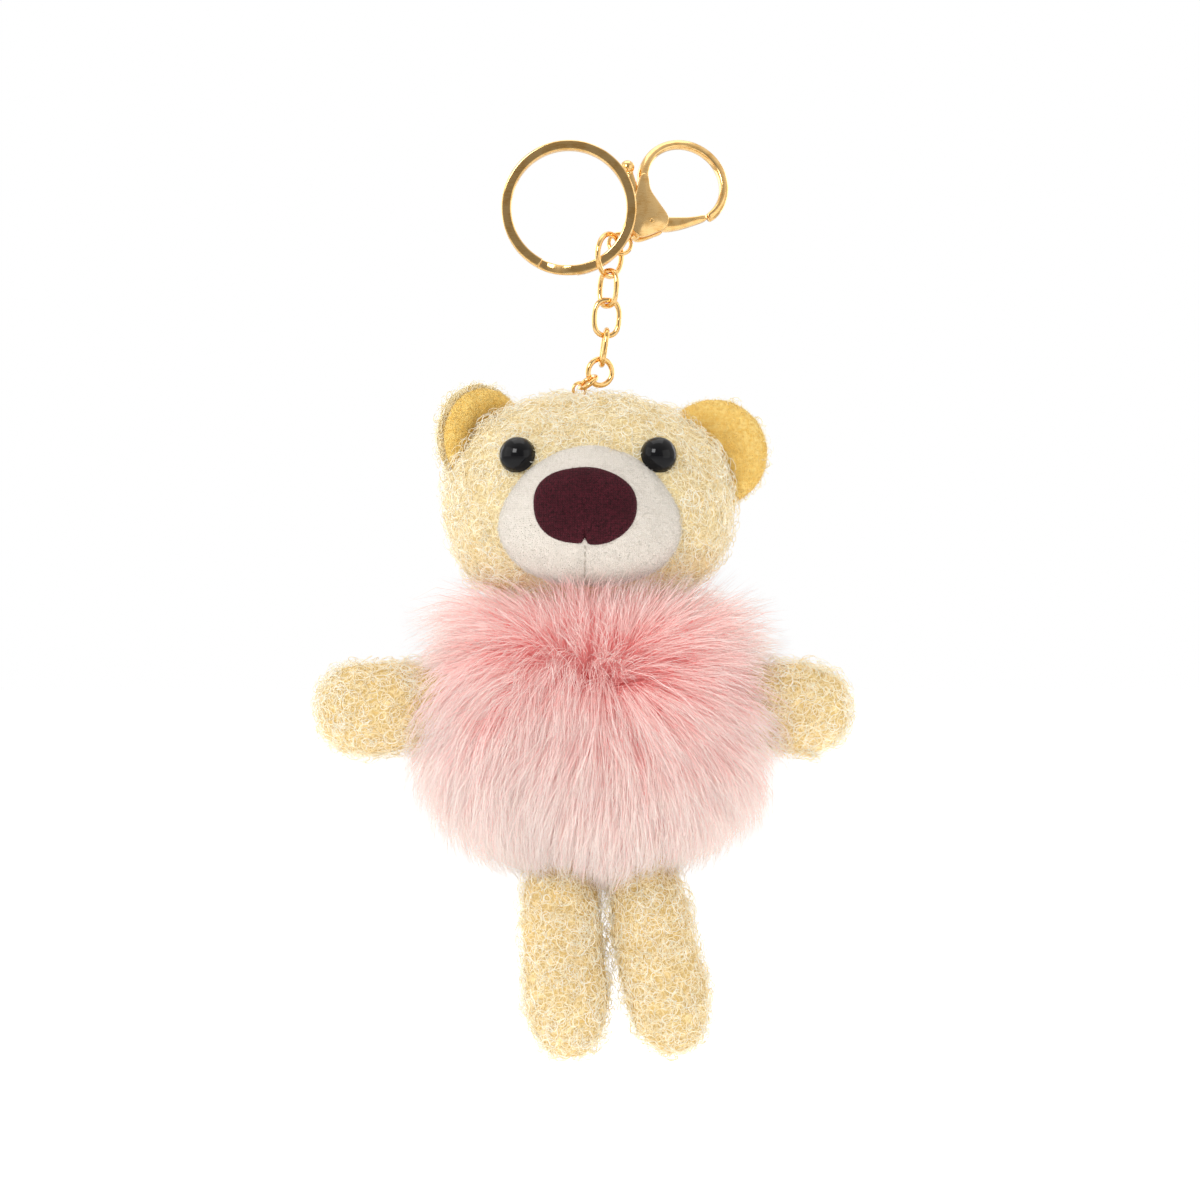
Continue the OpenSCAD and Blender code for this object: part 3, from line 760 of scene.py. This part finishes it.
def curls(name, surface, count, seed, body, keep, size=(0.9, 2.7), wire=0.085, steps=10):
    """Loops of yarn on a cloth: each goes round 0.6 to 1.1 turns in a plane that leans 3 to 65 degrees out of
    it, the big ones less. Its radius shrinks and sways, and it ends in a point."""
    at, out = scatter(surface, count, seed, keep)
    rng = np.random.default_rng(seed + 1)
    n = len(at)
    side = unit(np.cross(out, unit(rng.normal(size=(n, 3)))))
    over = np.cross(out, side)
    big = rng.random(n)
    lean = np.radians(3 + 50 * rng.random(n) ** 1.7 * (1.25 - 0.75 * big))[:, None]
    rise = np.cos(lean) * over + np.sin(lean) * out
    r = (size[0] + (size[1] - size[0]) * big)[:, None, None]
    t = np.linspace(0, 1, steps)[None, :, None]
    turn = 2 * np.pi * (-0.2 + t * rng.uniform(0.6, 1.1, (n, 1, 1)))
    shrink = 1 - 0.4 * t + 0.12 * np.sin(2 * np.pi * (1.5 * t + rng.random((n, 1, 1))))
    loop = np.sin(turn) * side[:, None] * shrink + (1 - np.cos(turn) * shrink) * rise[:, None] * 0.85
    drift = t * rng.uniform(-0.9, 0.9, (n, 1, 1)) * np.cross(side, rise)[:, None]
    paths = at[:, None] + (0.15 - 0.8 * (1 - t) ** 5) * out[:, None] + r * loop + drift
    paths += 0.018 * rng.normal(size=paths.shape)
    radii = wire * rng.uniform(0.75, 1.25, (n, 1)) * np.linspace(1.1, 0.7, steps - 1)[None]
    tones = np.repeat(rng.choice(4, n, p=YARN_SHARES)[:, None], steps - 1, 1)
    strands(name, paths, radii, CURL_TONES, tones, body, "cream_boucle")


def short_pile(name, at, out, lengths, wire, material, slot, seed, comb=0):
    """Short fibres on a cloth of the head: each is a thin pyramid along the normal plus a random and a combed
    way."""
    rng = np.random.default_rng(seed)
    way = unit(out + 0.55 * rng.normal(size=out.shape) + comb)
    tall = rng.uniform(lengths[0], lengths[1], (len(at), 1))
    paths = np.stack([at - 0.1 * out, at + tall * way], 1)
    tones = np.zeros((len(at), 1), int)
    strands(name, paths, np.full((len(at), 1), wire), [material], tones, "head", slot)


def clear_of_head(at, out, inset=1.0):
    """Yes for the places outside the head's egg drawn in by the inset."""
    return egg_share(at, HEAD_AT, HEAD_A - inset, HEAD_B - inset) > 1


head_cloth = head_surface()
new_piece("head_cloth", *closed_grid(head_cloth), [GROUND], "head", ["head_cover", "head_stuffing"],
          "cream_boucle", fill=0.85)


def head_keeps(at, out):
    """Yes for the places clear of the muzzle, the eyes and the neck."""
    clear = egg_share(at, MUZZLE_AT, MUZZLE_A - 0.6, MUZZLE_B - 0.6) > 1
    for eye in EYES.values():
        clear &= np.linalg.norm(at - eye, axis=1) > 4.0
    return clear & (at[:, 2] > HEAD_AT[2] - 0.97 * HEAD_B)


curls("head_curls", head_cloth, 8500, 11, "head", head_keeps)

EAR_RADIUS = 12.0
# for each ear: its turn about Z, and its lining's drop in radius and shift
EARS = {"left": (38.0, 0.9, (0.9, 0, -0.3)), "right": (-6.0, 0.1, (0, 0, 0))}
for k, (side, (turn, drop, shift)) in enumerate(EARS.items()):
    low, high = box_mm("ear_back_" + side)
    half_width = EAR_RADIUS * np.cos(np.radians(turn))
    middle_x = low[0] + half_width + 1.2 if side == "left" else high[0] - half_width - 1.5
    ear_at = np.array([middle_x, 1.0, high[2] - EAR_RADIUS])
    back = disc_surface(ear_at, turn, EAR_RADIUS - 0.2,
                        lambda s: 0.15 + 2.9 * np.sqrt(np.maximum(0, 1 - s ** 2)))
    new_piece("ear_back_cloth_" + side, *closed_grid(back), [GROUND], "head", ["ear_back_" + side],
              "cream_boucle", fill=0.5)
    lining = disc_surface(ear_at + np.array(shift), turn, EAR_RADIUS - drop,
                          lambda s: -0.25 - 1.9 * np.sin(np.pi * s ** 2.4) ** 0.8 * (s < 1))
    lining[1:20, :, 1] += 0.25 * waves(lining[1:20], 6.0, 25 + k)
    new_piece("ear_lining_cloth_" + side, *closed_grid(lining), [EAR_CLOTH], "head", ["ear_lining_" + side],
              "golden_velour", fill=0.4)
    curls("ear_curls_" + side, back[:22], 850, 40 + k, "head", clear_of_head, size=(0.7, 1.5))
    at, out = scatter(lining[:21], 9000, 60 + k, clear_of_head)
    short_pile("ear_pile_" + side, at, out, (0.35, 0.8), 0.05, EAR_FIBRE, "golden_velour", 70 + k)

# ---- face

SEAM_X = NOSE_AT[0]


def muzzle_surface(rows=90, columns=150):
    """The muzzle's cloth: an egg seen from the front, polar about -Y, its width 0.97 - 0.16 z/b of the egg's.
    A seam below the nose draws it in by 0.2 exp(-(x / 0.45)^2), with a pucker every 1.7 mm."""
    y, x, z = polar_ways(1, 150, rows, columns)
    way = np.stack([x, -y, z], -1)
    p = MUZZLE_B * way
    p[..., 0] = MUZZLE_A * (0.97 - 0.16 * way[..., 2]) * way[..., 0]
    out = unit(p / np.array([MUZZLE_A, MUZZLE_B, MUZZLE_B]) ** 2)
    at = MUZZLE_AT + p
    off = at[..., 0] - SEAM_X
    below = smooth((NOSE_LOW[2] + 1.0 - at[..., 2]) / 2.0) * smooth((-at[..., 1] - 8) / 6)
    pucker = 1 + 0.35 * np.sin(2 * np.pi * at[..., 2] / 1.7) * np.exp(-(off / 2.2) ** 2)
    seam = 0.2 * np.exp(-(off / 0.45) ** 2) + 0.3 * np.exp(-(off / 3.0) ** 2) * pucker
    lumps = 0.22 * waves(at, 9.0, 21)
    return at + out * (lumps - 0.3 - seam * below)[..., None]


def nose_surface(rows, columns=120):
    """The nose patch on the muzzle: an oval of exponent 2.25 with a notch of 1 mm at its foot, proud of the
    muzzle by 1.25 sqrt(1 - s^5) - 0.1 at the share s of its radius, and closed 0.7 mm inside the muzzle."""
    f = turns(columns)
    half_w, _, half_h = (NOSE_HIGH - NOSE_LOW) / 2
    rim = (np.abs(np.cos(f) / half_w) ** 2.25 + np.abs(np.sin(f) / half_h) ** 2.25) ** (-1 / 2.25)
    rim -= np.exp(-((f - 1.5 * np.pi) * 8.0 / 0.6) ** 2)
    rim += 0.12 * np.sin(5 * f + 1) - 0.15 * np.sin(2 * f)
    out = np.linspace(0.03, 1, rows)
    share = np.concatenate([out, np.linspace(1, 0.03, 8)])
    x = NOSE_AT[0] + share[:, None] * rim * np.cos(f)
    z = NOSE_AT[2] + share[:, None] * rim * np.sin(f)
    inside = 1 - ((x - MUZZLE_AT[0]) / MUZZLE_A) ** 2 - ((z - MUZZLE_AT[2]) / MUZZLE_B) ** 2
    y = MUZZLE_AT[1] - MUZZLE_B * np.sqrt(np.maximum(inside, 0.05))
    proud = np.concatenate([1.25 * np.sqrt(1 - out ** 5) - 0.1, np.full(8, -0.7)])
    notch = np.exp(-((x - SEAM_X) / 0.45) ** 2) * smooth((NOSE_AT[2] - 3.5 - z) / 3.0)
    notch[rows:] = 0
    p = np.stack([x, y - proud[:, None] + notch, z], -1)
    p[:rows, :, 1] -= 0.12 * waves(p[:rows], 5.0, 5) * (1 - out[:, None] ** 6)
    return p


NOSE_ROWS = 28
muzzle_cloth = muzzle_surface()
new_piece("muzzle_cloth", *closed_grid(muzzle_cloth), [WHITE_PILE], "head",
          ["muzzle_cover", "muzzle_stuffing"], "white_pile", fill=0.8)
nose_cloth = nose_surface(NOSE_ROWS)
new_piece("nose_patch", *closed_grid(nose_cloth), [NOSE_CLOTH], "head", ["nose"], "nose_velour", fill=0.7)
at, out = scatter(muzzle_cloth, 34000, 81, lambda at, out: clear_of_head(at, out, 0.5))
short_pile("muzzle_pile", at, out, (0.4, 0.9), 0.05, MUZZLE_FIBRE, "white_pile", 82, np.array([0.3, 0, -0.8]))
at, out = scatter(nose_cloth[:NOSE_ROWS], 5000, 83)
short_pile("nose_pile", at, out, (0.15, 0.4), 0.04, NOSE_FIBRE, "nose_velour", 84)


def seam_thread_shape():
    """The muzzle's centre seam: a thread in the groove, its middle dipping into the cloth at each stitch."""
    k = np.arange(90)
    a = np.radians(np.linspace(-66, -22, len(k)))
    reach = MUZZLE_B - 0.78 + 0.1 * np.sin(k * 2 * np.pi / 9)
    path = np.stack([SEAM_X + 0.08 * np.sin(k * 0.7), MUZZLE_AT[1] - reach * np.cos(a),
                     MUZZLE_AT[2] + reach * np.sin(a)], -1)
    return closed_grid(sweep(path, [1, 0, 0], round_section(0.13, 8), closed=False))


new_piece("muzzle_seam_thread", *seam_thread_shape(), [SEAM_THREAD], "head", ["muzzle_seam"], "thread")


def bead_shape(side):
    """A bead eye: a dome of radius 4 on a low rim, and the shank that goes through the cloth."""
    sign = -1 if side == "left" else 1
    look = unit([sign * 0.25, -0.93, 0.27])
    spot = HEAD_AT + np.array([sign * 15.2, -18.6, 8.6])
    angle = np.radians(np.linspace(88, 4, 26))
    rows = [(-5.0, 0.9), (-4.9, 1.0), (0.1, 1.0), (0.15, 3.2), (0.2, 3.85), (0.35, 4.0), (0.55, 4.0),
            (0.7, 3.93)]
    rows += [(0.7 + 3.25 * np.cos(a), 3.9 * np.sin(a)) for a in angle]
    return closed_grid(spindle(spot, look, rows, 56))


for side in EYES:
    new_piece("bead_eye_" + side, *bead_shape(side), [BEAD], "head", ["eye_" + side], "bead_black")
    recolour("eye_washer_" + side, WASHER)
recolour("neck_seam", THREAD)

# ---- limbs

# for each limb: joint, length, radius, leans from straight down towards +X, seeds, curls, length left bare
LIMBS = {"arm": ("lift", 36.0, 11.2, (-87.0, 87.0), (31, 90), 2000, 13),
         "leg": ("swing", 51.5, 10.2, (3.5, 12.0), (35, 95), 2600, 9)}
for k, side in enumerate(("left", "right")):
    for limb, (joint, length, radius, leans, seeds, count, bare) in LIMBS.items():
        body = f"{limb}_{side}"
        root = JOINT_AT[f"{body}_{joint}"]
        lean = np.radians(leans[k])
        way = np.array([np.sin(lean), 0, -np.cos(lean)])
        cloth = limb_surface(root, way, length, radius, seeds[0] + k)
        new_piece(f"{limb}_cloth_{side}", *closed_grid(cloth), [LIMB_GROUND], body,
                  [f"{limb}_cover_{side}", f"{limb}_stuffing_{side}"], "cream_boucle", fill=0.85)
        curls(f"{limb}_curls_{side}", cloth, count, seeds[1] + k, body,
              lambda at, out: (at - root) @ way > bare)

# ---- fur

PARTING = unit([-0.26, -0.52, 0.82]), unit([0.20, -0.70, 0.68])
FUR_OUT = np.array([43.2, 34.0, 36.0])
FUR_IN = np.array([26.0, 20.0, 21.5])
# each row: the glow of its hairs, then three colours; the glow is painted light that lifts the shade among
# the hairs, strongest at the roots
TONE_ROWS = {"root": (0.26, "ec9794", "f0a39f", "e78c89"), "mid": (0.19, "f2c6c1", "f4cec9", "efbbb6"),
             "tip": (0.14, "f4d8d2", "f6dfda", "f2d0ca"), "pale": (0.11, "f7e5dc", "f9eae3", "f5ded6")}
FUR_TONES = [fibre(f"fur_{part}_{k + 1}", code, 0.6, 0.35, row[0])
             for part, row in TONE_ROWS.items() for k, code in enumerate(row[1:])]


def super_reach(way, size, power):
    """Distance from the middle to the surface |x/a|^p + |y/b|^p + |z/c|^p = 1 along unit ways."""
    return (np.abs(way / size) ** power).sum(-1) ** (-1 / power)


def fur_reach(way):
    """Distance to the outer surface (|x/a|^p + |z/c|^p)^(q/p) + |y/b|^q = 1: p goes from 3 below to 4.6 at
    the shoulders and q from 2.4 to 3.3, and c is 8% less below. The pile is 3.6 mm longer between the legs
    and up to 4 mm longer before the chin."""
    x, y, z = np.abs(way / FUR_OUT).T
    z = np.where(way[:, 2] < 0, z * 1.08, z)
    top = smooth(way[:, 2] * 2 + 0.5)
    p, q = 3.0 + 1.6 * top, 2.4 + 0.9 * top
    tuft = 3.6 * np.exp(-((way[:, 0] - 0.05) / 0.16) ** 2) * smooth(-way[:, 2] * 4 - 2.8)
    chin = 4.0 * np.exp(-(way[:, 0] / 0.42) ** 2) * smooth((way[:, 2] - 0.5) * 5) * smooth(-3 * way[:, 1])
    return ((x ** p + z ** p) ** (q / p) + y ** q) ** (-1 / q) + tuft + chin


def combed(way, push):
    """Ways turned away from the nearest point of the parting: up to the push in the front and less behind,
    with a swirl close to the parting, and a little down. Under the chin the pile stands nearly straight."""
    a, b = PARTING
    share = np.clip((way - a) @ (b - a) / ((b - a) @ (b - a)), 0, 1)
    near = unit(a + share[:, None] * (b - a))
    cosine = (way * near).sum(-1, keepdims=True)
    angle = np.arccos(np.clip(cosine, -1, 1))
    away = unit(way * cosine - near + 1e-9)
    away = unit(away + 0.6 * (1 - smooth(angle / 0.9)) * np.cross(way, away))
    chin = smooth(1.6 * away[:, 2:]) * np.exp(-(way[:, :1] / 0.5) ** 2)
    amount = push[:, None] * smooth(angle / 0.4) * (1 - smooth((angle - 1.6) / 1.2)) * (1 - 0.8 * chin)
    down = np.array([0, 0, -0.14]) * smooth((0.9 - way[:, 2:]) / 1.4)
    return unit(way + away * amount + down), angle[:, 0]


def fur_skin():
    """The fur's backing: |x/a|^p + |y/b|^p + |z/c|^p = 1 with p = 2.3, and lumps of 0.8 mm."""
    z, x, y = polar_ways(2, 178, 50, 72)
    way = np.stack([x, y, z], -1)
    p = FUR_AT + way * super_reach(way, FUR_IN, 2.3)[..., None]
    return p + way * 0.8 * waves(p, 12.0, 51)[..., None]


new_piece("fur_backing", *closed_grid(fur_skin()), [FUR_SKIN], "torso", ["fur_cover", "body_stuffing"],
          "pink_fur", fill=0.8)


def fur_pile(name, count, seed, stops, reaches, wire, locks=2000):
    """Long pile: each hair is root (1-t)^2 + 2 bend t (1-t) + tip t^2 at the stops t. The tip is within the
    reaches, as shares of the way to the outer surface, combed from the parting and towards its lock's
    middle. Hairs are paler at their tips and away from the parting."""
    rng = np.random.default_rng(seed)
    way = unit(rng.normal(size=(count, 3)))
    lock_way = unit(np.random.default_rng(5).normal(size=(locks, 3)))
    near = np.concatenate([np.argmax(part @ lock_way.T, 1) for part in np.array_split(way, 40)])
    rng_locks = np.random.default_rng(6)
    lock_length = rng_locks.uniform(0.92, 1.03, locks)
    lock_push = rng_locks.uniform(0.3, 0.85, locks)
    lock_turn = rng_locks.normal(size=(locks, 3)) * 0.07
    lock_bend = rng_locks.normal(size=(locks, 3)) * 0.09
    gather = (0.15 + 0.6 * rng.random(count))[:, None]
    own, angle = combed(way, lock_push[near] + 0.12 * rng.normal(size=count))
    shared = combed(lock_way, lock_push)[0] + lock_turn
    tip_way = unit(own * (1 - gather) + shared[near] * gather + 0.045 * rng.normal(size=(count, 3)))
    low, high = reaches
    reach = fur_reach(tip_way) * (1 + 0.02 * waves(tip_way * 30, 22.0, 52))
    reach *= lock_length[near] * (high - (high - low) * rng.random(count) ** 2)
    tip = FUR_AT + tip_way * reach[:, None]
    root = FUR_AT + way * (super_reach(way, FUR_IN, 2.3) - 0.6)[:, None]
    length = np.linalg.norm(tip - root, axis=1)[:, None]
    sway = lock_bend[near] + 0.05 * rng.normal(size=(count, 3))
    bend = root + length * (way * rng.uniform(0.35, 0.6, (count, 1)) + sway)
    t = np.array(stops)[None, :, None]
    paths = root[:, None] * (1 - t) ** 2 + 2 * bend[:, None] * t * (1 - t) + tip[:, None] * t ** 2
    for at, a, b, margin in ((HEAD_AT, HEAD_A, HEAD_B, 1.2), (MUZZLE_AT, MUZZLE_A, MUZZLE_B, 0.6)):
        share = egg_share(paths, at, a + margin, b + margin)[..., None]
        paths = np.where(share < 1, at + (paths - at) / np.maximum(share, 0.3), paths)
    good = paths[:, -1, 2] < FUR_AT[2] + FUR_OUT[2] + 1.0 + 3.0 * (paths[:, -1, 1] > 4)
    paths, near, angle = paths[good], near[good], angle[good]
    n, k = len(paths), len(stops) - 1
    radii = rng.uniform(*wire, (n, 1)) * np.linspace(1.15, 0.7, k)
    shade = (rng_locks.integers(0, 3, locks)[near] + (rng.random(n) < 0.6) * rng.integers(0, 3, n)) % 3
    paler = rng.random(n) < 0.95 * smooth((angle - 0.2) / 1.0)
    tones = shade[:, None] + 3 * (np.arange(k)[None] + paler[:, None])
    strands(name, paths, radii, FUR_TONES, tones, "torso", "pink_fur")


fur_pile("fur_undercoat", 21000, 101, (0, 0.55, 1.0), (0.62, 0.9), (0.09, 0.14))
fur_pile("fur_pile", 38000, 102, (0, 0.4, 0.74, 1.0), (0.82, 1.03), (0.07, 0.11))

# ---- floor, light and camera

LOOK_AT = np.array([6.9, 0.0, -87.1])
DISTANCE = 741.0


def stage_floor():
    """A large pale floor well under the hanging bear: darker where polished parts reflect it, and clear from
    below."""
    mesh = bpy.data.meshes.new("floor")
    z = -0.27
    mesh.from_pydata([(-6, -6, z), (6, -6, z), (6, 6, z), (-6, 6, z)], [], [(0, 1, 2, 3)])
    material, tree, shader = finish_of("pale_floor", Base_Color=(0.93, 0.93, 0.925, 1), Roughness=0.9,
                                       Emission_Color=(1, 1, 1, 1))
    shiny = add(tree, "LightPath").outputs["Is Glossy Ray"]
    under = add(tree, "NewGeometry").outputs["Backfacing"]
    feed_all(tree, shader, Emission_Strength=stretched(tree, shiny, 0.0, 1.0, 0.55, 0.1),
             Alpha=stretched(tree, under, 0.0, 1.0, 1.0, 0.0))
    mesh.materials.append(material)
    in_scene("floor", mesh)


def soft_light(name, at, size, power, colour=(1, 1, 1)):
    """A square soft light at a place (mm) that faces the bear."""
    data = bpy.data.lights.new(name, "AREA")
    data.size, data.energy, data.color = size, power, colour
    light = in_scene(name, data)
    light.location = np.array(at) * MM
    light.rotation_euler = Vector(LOOK_AT - at).to_track_quat("-Z", "Y").to_euler()


def studio_world():
    """An even white studio, darker behind the camera, and more so where polished parts reflect it."""
    world = bpy.data.worlds.new("studio")
    world.use_nodes = True
    tree = world.node_tree
    tree.nodes.clear()
    way = add(tree, "TexCoord").outputs["Generated"]
    back = add(tree, "SeparateXYZ", Vector=way).outputs["Y"]
    black = (0, 0, 0, 1)
    soft = mixed(tree, stretched(tree, back, -0.9, 0.0, 0.31, 0.74), black, (1.0, 0.99, 0.975, 1))
    sharp = mixed(tree, stretched(tree, back, -0.98, 0.0, 0.3, 1.1), black, (1.0, 0.97, 0.93, 1))
    ray = add(tree, "LightPath").outputs
    colour = mixed(tree, ray["Is Camera Ray"], mixed(tree, ray["Is Glossy Ray"], soft, sharp), (1, 1, 1, 1))
    shine = add(tree, "Background", Color=colour, Strength=1.0)
    add(tree, "OutputWorld", Surface=shine.outputs[0])
    bpy.context.scene.world = world


stage_floor()
studio_world()
for row in (("key", (-260, -600, 300), 0.25, 2.1),
            ("wide_key", (-620, -330, 200), 0.6, 0.8),
            ("top", (0, 60, 420), 0.4, 0.65),
            ("rear_left", (-420, 380, 60), 0.4, 1.0),
            ("rear_right", (420, 380, 60), 0.4, 1.0),
            ("fill", (520, -420, 60), 0.5, 0.65, (1.0, 0.98, 0.95))):
    soft_light(*row)
optics = bpy.data.cameras.new("camera")
optics.lens, optics.sensor_width = 100.0, 36.0
optics.clip_start, optics.clip_end = 0.05, 50.0
camera = in_scene("camera", optics)
camera.location = (LOOK_AT + DISTANCE * FRONT) * MM
camera.rotation_euler = (np.pi / 2, 0.0, 0.0)
bpy.context.scene.camera = camera
bpy.context.scene.view_settings.view_transform = "Standard"
